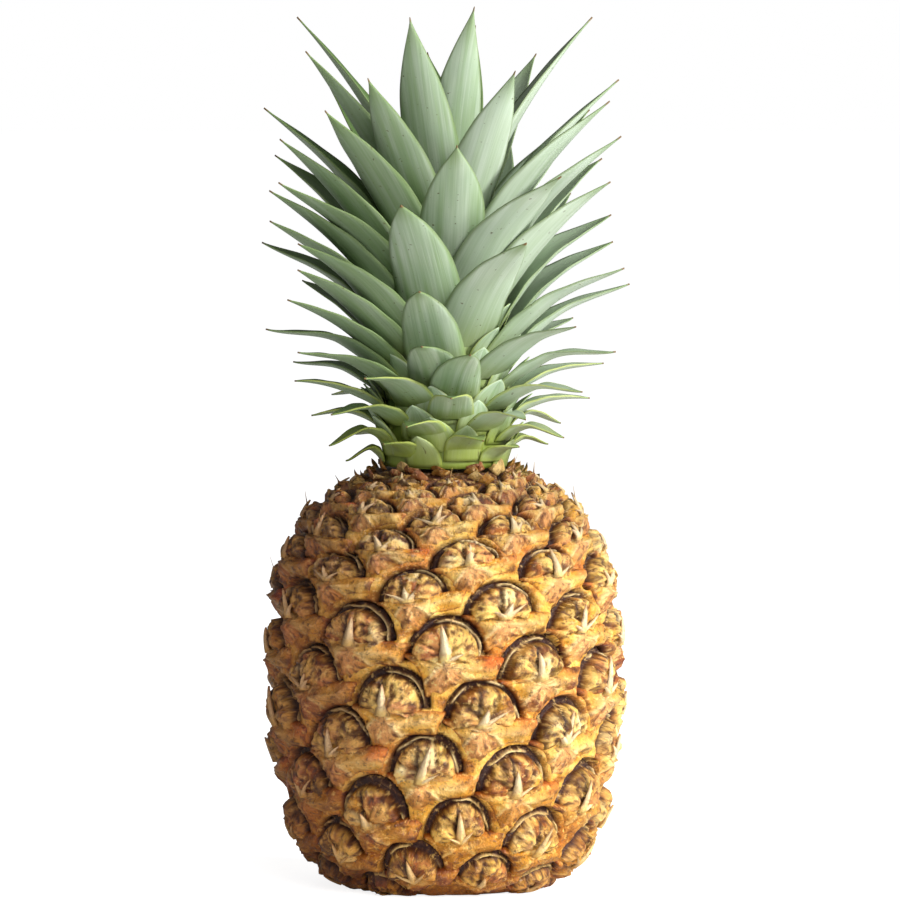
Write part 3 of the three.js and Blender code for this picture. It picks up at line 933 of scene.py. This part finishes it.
class Nodes:
    """A short way to write a material's node tree."""

    def __init__(self, name):
        self.material = bpy.data.materials.new(name)
        self.material.use_nodes = True
        self.tree = self.material.node_tree
        self.tree.nodes.clear()
        self.output = self.tree.nodes.new("ShaderNodeOutputMaterial")
        self.shader = self.tree.nodes.new("ShaderNodeBsdfPrincipled")
        self.link(self.shader.outputs[0], self.output.inputs["Surface"])

    def link(self, a, b):
        self.tree.links.new(a, b)

    def put(self, socket, value):
        if isinstance(value, bpy.types.NodeSocket):
            self.link(value, socket)
        else:
            socket.default_value = value

    def attribute(self, name, output="Fac"):
        node = self.tree.nodes.new("ShaderNodeAttribute")
        node.attribute_name = name
        return node.outputs[output]

    def noise(self, vector, scale, detail=4.0, roughness=0.55, stretch=None):
        if stretch is not None:
            mapping = self.tree.nodes.new("ShaderNodeMapping")
            mapping.inputs["Scale"].default_value = stretch
            self.link(vector, mapping.inputs["Vector"])
            vector = mapping.outputs[0]
        node = self.tree.nodes.new("ShaderNodeTexNoise")
        self.link(vector, node.inputs["Vector"])
        node.inputs["Scale"].default_value = scale
        node.inputs["Detail"].default_value = detail
        node.inputs["Roughness"].default_value = roughness
        return node.outputs["Fac"]

    def span(self, value, low, high, to_low=0.0, to_high=1.0):
        node = self.tree.nodes.new("ShaderNodeMapRange")
        node.interpolation_type = "SMOOTHSTEP"
        self.put(node.inputs["Value"], value)
        node.inputs["From Min"].default_value = low
        node.inputs["From Max"].default_value = high
        node.inputs["To Min"].default_value = to_low
        node.inputs["To Max"].default_value = to_high
        return node.outputs[0]

    def math(self, operation, a, b=0.0):
        node = self.tree.nodes.new("ShaderNodeMath")
        node.operation = operation
        self.put(node.inputs[0], a)
        self.put(node.inputs[1], b)
        return node.outputs[0]

    def mix(self, share, a, b, mode="MIX"):
        node = self.tree.nodes.new("ShaderNodeMix")
        node.data_type = "RGBA"
        node.blend_type = mode
        self.put(node.inputs["Factor"], share)
        for socket, value in (("A", a), ("B", b)):
            found = [s for s in node.inputs if s.name == socket and s.type == "RGBA"][0]
            if isinstance(value, bpy.types.NodeSocket):
                self.link(value, found)
            else:
                found.default_value = (*[float(v) for v in value], 1.0)
        return [s for s in node.outputs if s.type == "RGBA"][0]

    def multiply_by(self, share, colour, factor):
        """The colour multiplied by a factor, as far as the share says."""
        return self.mix(share, colour, self.mix(1.0, colour, factor, "MULTIPLY"))

    def bump(self, height, strength, distance):
        node = self.tree.nodes.new("ShaderNodeBump")
        node.inputs["Strength"].default_value = strength
        node.inputs["Distance"].default_value = distance
        self.link(height, node.inputs["Height"])
        return node.outputs["Normal"]


# What the colours of the rind are multiplied by: everywhere, and then where each line says.
RIND_CONTRAST = 1.65  # the power that deepens them first
RIND_STAIN = (1.34, 1.24, 0.87)
PAPER_STAIN = (1.3, 1.25, 1.12)
# Painted shade on the left side of the fruit.
LEFT_SIDE_SHADE = (0.56, 0.4, 0.3)
LOW_PART = (1.0, 0.9, 0.66)
# Painted shade at the very bottom, next to the floor.
FOOT_SHADE = (0.62, 0.5, 0.36)
# Painted shadow of the crown over the fruit's shoulder.
CROWN_SHADOW = (0.52, 0.47, 0.44)
BLOTCH = (0.75, 0.62, 0.5)


def rind_material(name, roughness, speckle, multiply_by):
    """Dry waxy rind: the mesh's own tint with grain, flecks and blotches over it, and painted shade
    on the left, at the bottom and under the crown.
    """
    m = Nodes(name)
    spot = m.attribute("rest", "Vector")
    tint = m.attribute("tint", "Color")
    grain = m.noise(spot, 900, 6.0, 0.65)
    blotch = m.noise(spot, 170, 4.0)
    colour = m.mix(m.span(blotch, 0.35, 0.7, 0.0, 0.45), tint, BLOTCH, "MULTIPLY")
    colour = m.mix(m.span(grain, 0.52, 0.72, 0.0, speckle), colour, linear(96, 52, 22))
    colour = m.mix(m.span(grain, 0.48, 0.3, 0.0, 0.35), colour, linear(250, 226, 176))
    flecks = m.noise(spot, 420, 5.0, 0.7)
    colour = m.mix(m.span(flecks, 0.54, 0.68, 0.0, speckle + 0.1), colour, linear(104, 60, 26))
    colour = m.mix(m.span(flecks, 0.46, 0.36, 0.0, 0.65), colour, linear(255, 238, 200))
    curve = m.tree.nodes.new("ShaderNodeGamma")
    curve.inputs["Gamma"].default_value = RIND_CONTRAST
    m.link(colour, curve.inputs["Color"])
    colour = m.mix(1.0, curve.outputs[0], multiply_by, "MULTIPLY")
    split = m.tree.nodes.new("ShaderNodeSeparateXYZ")
    m.link(spot, split.inputs[0])
    # Painted shade: darker and browner towards the left side, -X.
    left_shade = m.math("ADD", split.outputs["X"], m.math("MULTIPLY", blotch, 0.03))
    left_shade = m.span(left_shade, 0.012, -0.04)
    colour = m.multiply_by(left_shade, colour, LEFT_SIDE_SHADE)
    low = m.span(split.outputs["Z"], 0.06, 0.012)
    colour = m.multiply_by(low, colour, LOW_PART)
    # Painted shade: darker at the very bottom, next to the floor.
    foot = m.span(split.outputs["Z"], 0.018, 0.0, 0.0, 0.8)
    colour = m.multiply_by(foot, colour, FOOT_SHADE)
    # Painted shadow: the crown's shadow, darkening the upper part of the fruit.
    crown_shadow = m.span(split.outputs["Z"], 0.1, 0.15, 0.0, 0.75)
    colour = m.multiply_by(crown_shadow, colour, CROWN_SHADOW)
    m.link(colour, m.shader.inputs["Base Color"])
    rough = m.span(blotch, 0.3, 0.75, roughness - 0.1, roughness + 0.15)
    m.link(rough, m.shader.inputs["Roughness"])
    m.link(m.bump(m.math("ADD", grain, flecks), 0.9, 0.0014), m.shader.inputs["Normal"])
    m.shader.inputs["Specular IOR Level"].default_value = 0.7
    return m.material


def leaf_material(name, base_yellow, edge):
    """A fibrous leaf: pale bloom outside, green inside, yellow at the foot, brown at the tip; with
    painted shade in the gaps, low on the leaf and on the left, and painted light on the right.
    """
    m = Nodes(name)
    run = m.attribute("run", "Vector")
    along = m.attribute("along")
    across = m.attribute("across")
    outer = m.attribute("outer")
    seed = m.attribute("seed")
    fibres = m.noise(run, 1.0, 3.0, 0.6, (1500, 22, 40))
    bands = m.noise(run, 1.0, 3.0, 0.5, (420, 14, 40))
    patches = m.noise(run, 45, 3.0)
    specks = m.noise(run, 620, 2.0, 0.4)
    bloom = m.mix(m.span(bands, 0.3, 0.7), linear(164, 188, 142), linear(216, 227, 209))
    bloom = m.mix(m.span(patches, 0.35, 0.7, 0.0, 0.5), bloom, linear(184, 205, 180))
    # The inner faces' green, deepened as painted shade in the gaps between the leaves.
    inner = m.mix(m.span(bands, 0.3, 0.7), linear(56, 84, 36), linear(84, 114, 62))
    colour = m.mix(outer, inner, bloom)
    colour = m.mix(m.span(fibres, 0.35, 0.75, 0.0, 0.4), colour, linear(130, 160, 118))
    colour = m.mix(m.span(seed, 0.0, 1.0, 0.0, 0.3), colour, linear(160, 186, 142))
    shade = m.attribute("shade")
    # Painted shade on the leaves to the left, darker green, and painted light on those to the right,
    # paler.
    colour = m.mix(m.span(shade, 0.0, 1.0, 0.0, 0.5), colour, linear(84, 110, 50))
    colour = m.mix(m.span(shade, 0.0, -0.6, 0.0, 0.42), colour, linear(212, 224, 206))
    margin = m.span(m.math("ABSOLUTE", across), 0.86, 1.0, 0.0, 0.65)
    colour = m.mix(margin, colour, edge)
    # Painted shade: a darker green towards the leaf's foot, where the leaves overlap.
    low = m.span(along, 0.12, 0.6, 0.22, 0.0)
    colour = m.mix(low, colour, linear(132, 162, 98))
    foot = m.span(along, 0.02, 0.3, base_yellow, 0.0)
    colour = m.mix(foot, colour, linear(132, 146, 34))
    split = m.tree.nodes.new("ShaderNodeSeparateXYZ")
    m.link(m.tree.nodes.new("ShaderNodeTexCoord").outputs["Object"], split.inputs[0])
    sallow = m.span(split.outputs["Z"], 0.176, 0.16, 0.0, 0.6)
    colour = m.mix(sallow, colour, linear(140, 152, 40))
    colour = m.mix(m.span(specks, 0.7, 0.78, 0.0, 0.75), colour, linear(92, 84, 44))
    green = m.span(along, 0.8, 0.98, 0.0, 0.6)
    colour = m.mix(green, colour, linear(118, 146, 80))
    tip = m.span(m.math("ADD", along, m.math("MULTIPLY", patches, 0.03)), 0.985, 1.01)
    colour = m.mix(tip, colour, linear(120, 92, 52))
    m.link(colour, m.shader.inputs["Base Color"])
    m.link(m.span(bands, 0.3, 0.7, 0.42, 0.58), m.shader.inputs["Roughness"])
    m.link(m.bump(fibres, 0.35, 0.0004), m.shader.inputs["Normal"])
    m.shader.inputs["Specular IOR Level"].default_value = 0.45
    return m.material


# ---- Putting it together ----


def finish_piece(piece, nodes, material):
    """Gives a piece its material, hangs it on the root body and hides the CAD nodes that it stands
    for.
    """
    piece.data.materials.append(material)
    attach(piece, "root")
    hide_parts(*nodes)


rind = rind_material("pineapple rind", 0.38, 0.45, RIND_STAIN)
papery = rind_material("dry bract tips", 0.5, 0.15, PAPER_STAIN)
for piece in build_fruit():
    finish_piece(piece, ["fruit"], papery if "tips" in piece.name else rind)
finish_piece(build_core_surface(), ["fruit"], rind)
finish_piece(build_collar(), ["fruit"], papery)

leaf_skin = leaf_material("crown leaf", 0.5, linear(112, 132, 72))
scale_skin = leaf_material("crown basal scale", 0.6, linear(184, 192, 84))
finish_piece(build_crown_stem(), ["crown_stem"], scale_skin)
for rank in range(SCALES, RANKS):
    number = f"{rank - SCALES + 1:02d}"
    vertices, faces, values = leaf_shell(rank)
    blade = make_object(f"crown_leaf_{number}", vertices, faces, values)
    finish_piece(blade, [f"leaf_{number}"], leaf_skin)

# ---- Studio ----

WORLD_LIGHT = 0.17  # what the white surroundings give; the camera sees them at full white
FLOOR_GLOW = 0.85  # seen by the camera only, so that the floor comes out white
FLOOR_HALF = 8
LIGHT_TARGET = Vector((0, 0, 0.15))


def plain_material(name, colour, roughness=0.9):
    m = Nodes(name)
    m.shader.inputs["Base Color"].default_value = (*colour, 1.0)
    m.shader.inputs["Roughness"].default_value = roughness
    return m.material


floor_mesh = bpy.data.meshes.new("studio floor")
floor_mesh.from_pydata(
    [(x * FLOOR_HALF, y * FLOOR_HALF, 0) for x, y in ((-1, -1), (1, -1), (1, 1), (-1, 1))],
    [],
    [(0, 1, 2, 3)],
)
floor = bpy.data.objects.new("studio floor", floor_mesh)
bpy.context.scene.collection.objects.link(floor)
floor_paint = plain_material("white floor", (0.9, 0.9, 0.9))
floor_shader = floor_paint.node_tree.nodes["Principled BSDF"]
floor_shader.inputs["Emission Color"].default_value = (1, 1, 1, 1)
floor_rays = floor_paint.node_tree.nodes.new("ShaderNodeLightPath")
glow = floor_paint.node_tree.nodes.new("ShaderNodeMath")
glow.operation = "MULTIPLY"
glow.inputs[1].default_value = FLOOR_GLOW
floor_paint.node_tree.links.new(floor_rays.outputs["Is Camera Ray"], glow.inputs[0])
floor_paint.node_tree.links.new(glow.outputs[0], floor_shader.inputs["Emission Strength"])
floor.data.materials.append(floor_paint)

world = bpy.data.worlds.new("studio")
world.use_nodes = True
world.node_tree.nodes["Background"].inputs[0].default_value = (1, 1, 1, 1)
bpy.context.scene.world = world
rays = world.node_tree.nodes.new("ShaderNodeLightPath")
strength = world.node_tree.nodes.new("ShaderNodeMapRange")
strength.inputs["To Min"].default_value = WORLD_LIGHT
strength.inputs["To Max"].default_value = 1.0
world.node_tree.links.new(rays.outputs["Is Camera Ray"], strength.inputs["Value"])
world.node_tree.links.new(strength.outputs[0], world.node_tree.nodes["Background"].inputs[1])


def area_light(name, position, size, power):
    light = bpy.data.lights.new(name, "AREA")
    light.shape = "DISK"
    light.size = size
    light.energy = power
    holder = bpy.data.objects.new(name, light)
    holder.location = position
    direction = LIGHT_TARGET - Vector(position)
    holder.rotation_euler = direction.to_track_quat("-Z", "Y").to_euler()
    bpy.context.scene.collection.objects.link(holder)


area_light("key", (1.64, -0.8, 1.05), 0.6, 53)
area_light("front", (0.5, -2.0, 0.8), 1.0, 17)

ELEVATION = math.radians(4)
DISTANCE = 3.2
VIEW_WIDTH = 0.324  # what the picture spans at the fruit
SENSOR = 36
camera_data = bpy.data.cameras.new("camera")
camera_data.sensor_width = SENSOR
camera_data.lens = SENSOR * DISTANCE / VIEW_WIDTH
camera = bpy.data.objects.new("camera", camera_data)
aim = (0.0018, 0, 0.1577)
camera.location = (
    aim[0],
    -DISTANCE * math.cos(ELEVATION),
    aim[2] + DISTANCE * math.sin(ELEVATION),
)
camera.rotation_euler = (math.pi / 2 - ELEVATION, 0, 0)
bpy.context.scene.collection.objects.link(camera)
bpy.context.scene.camera = camera
bpy.context.scene.view_settings.view_transform = "Standard"
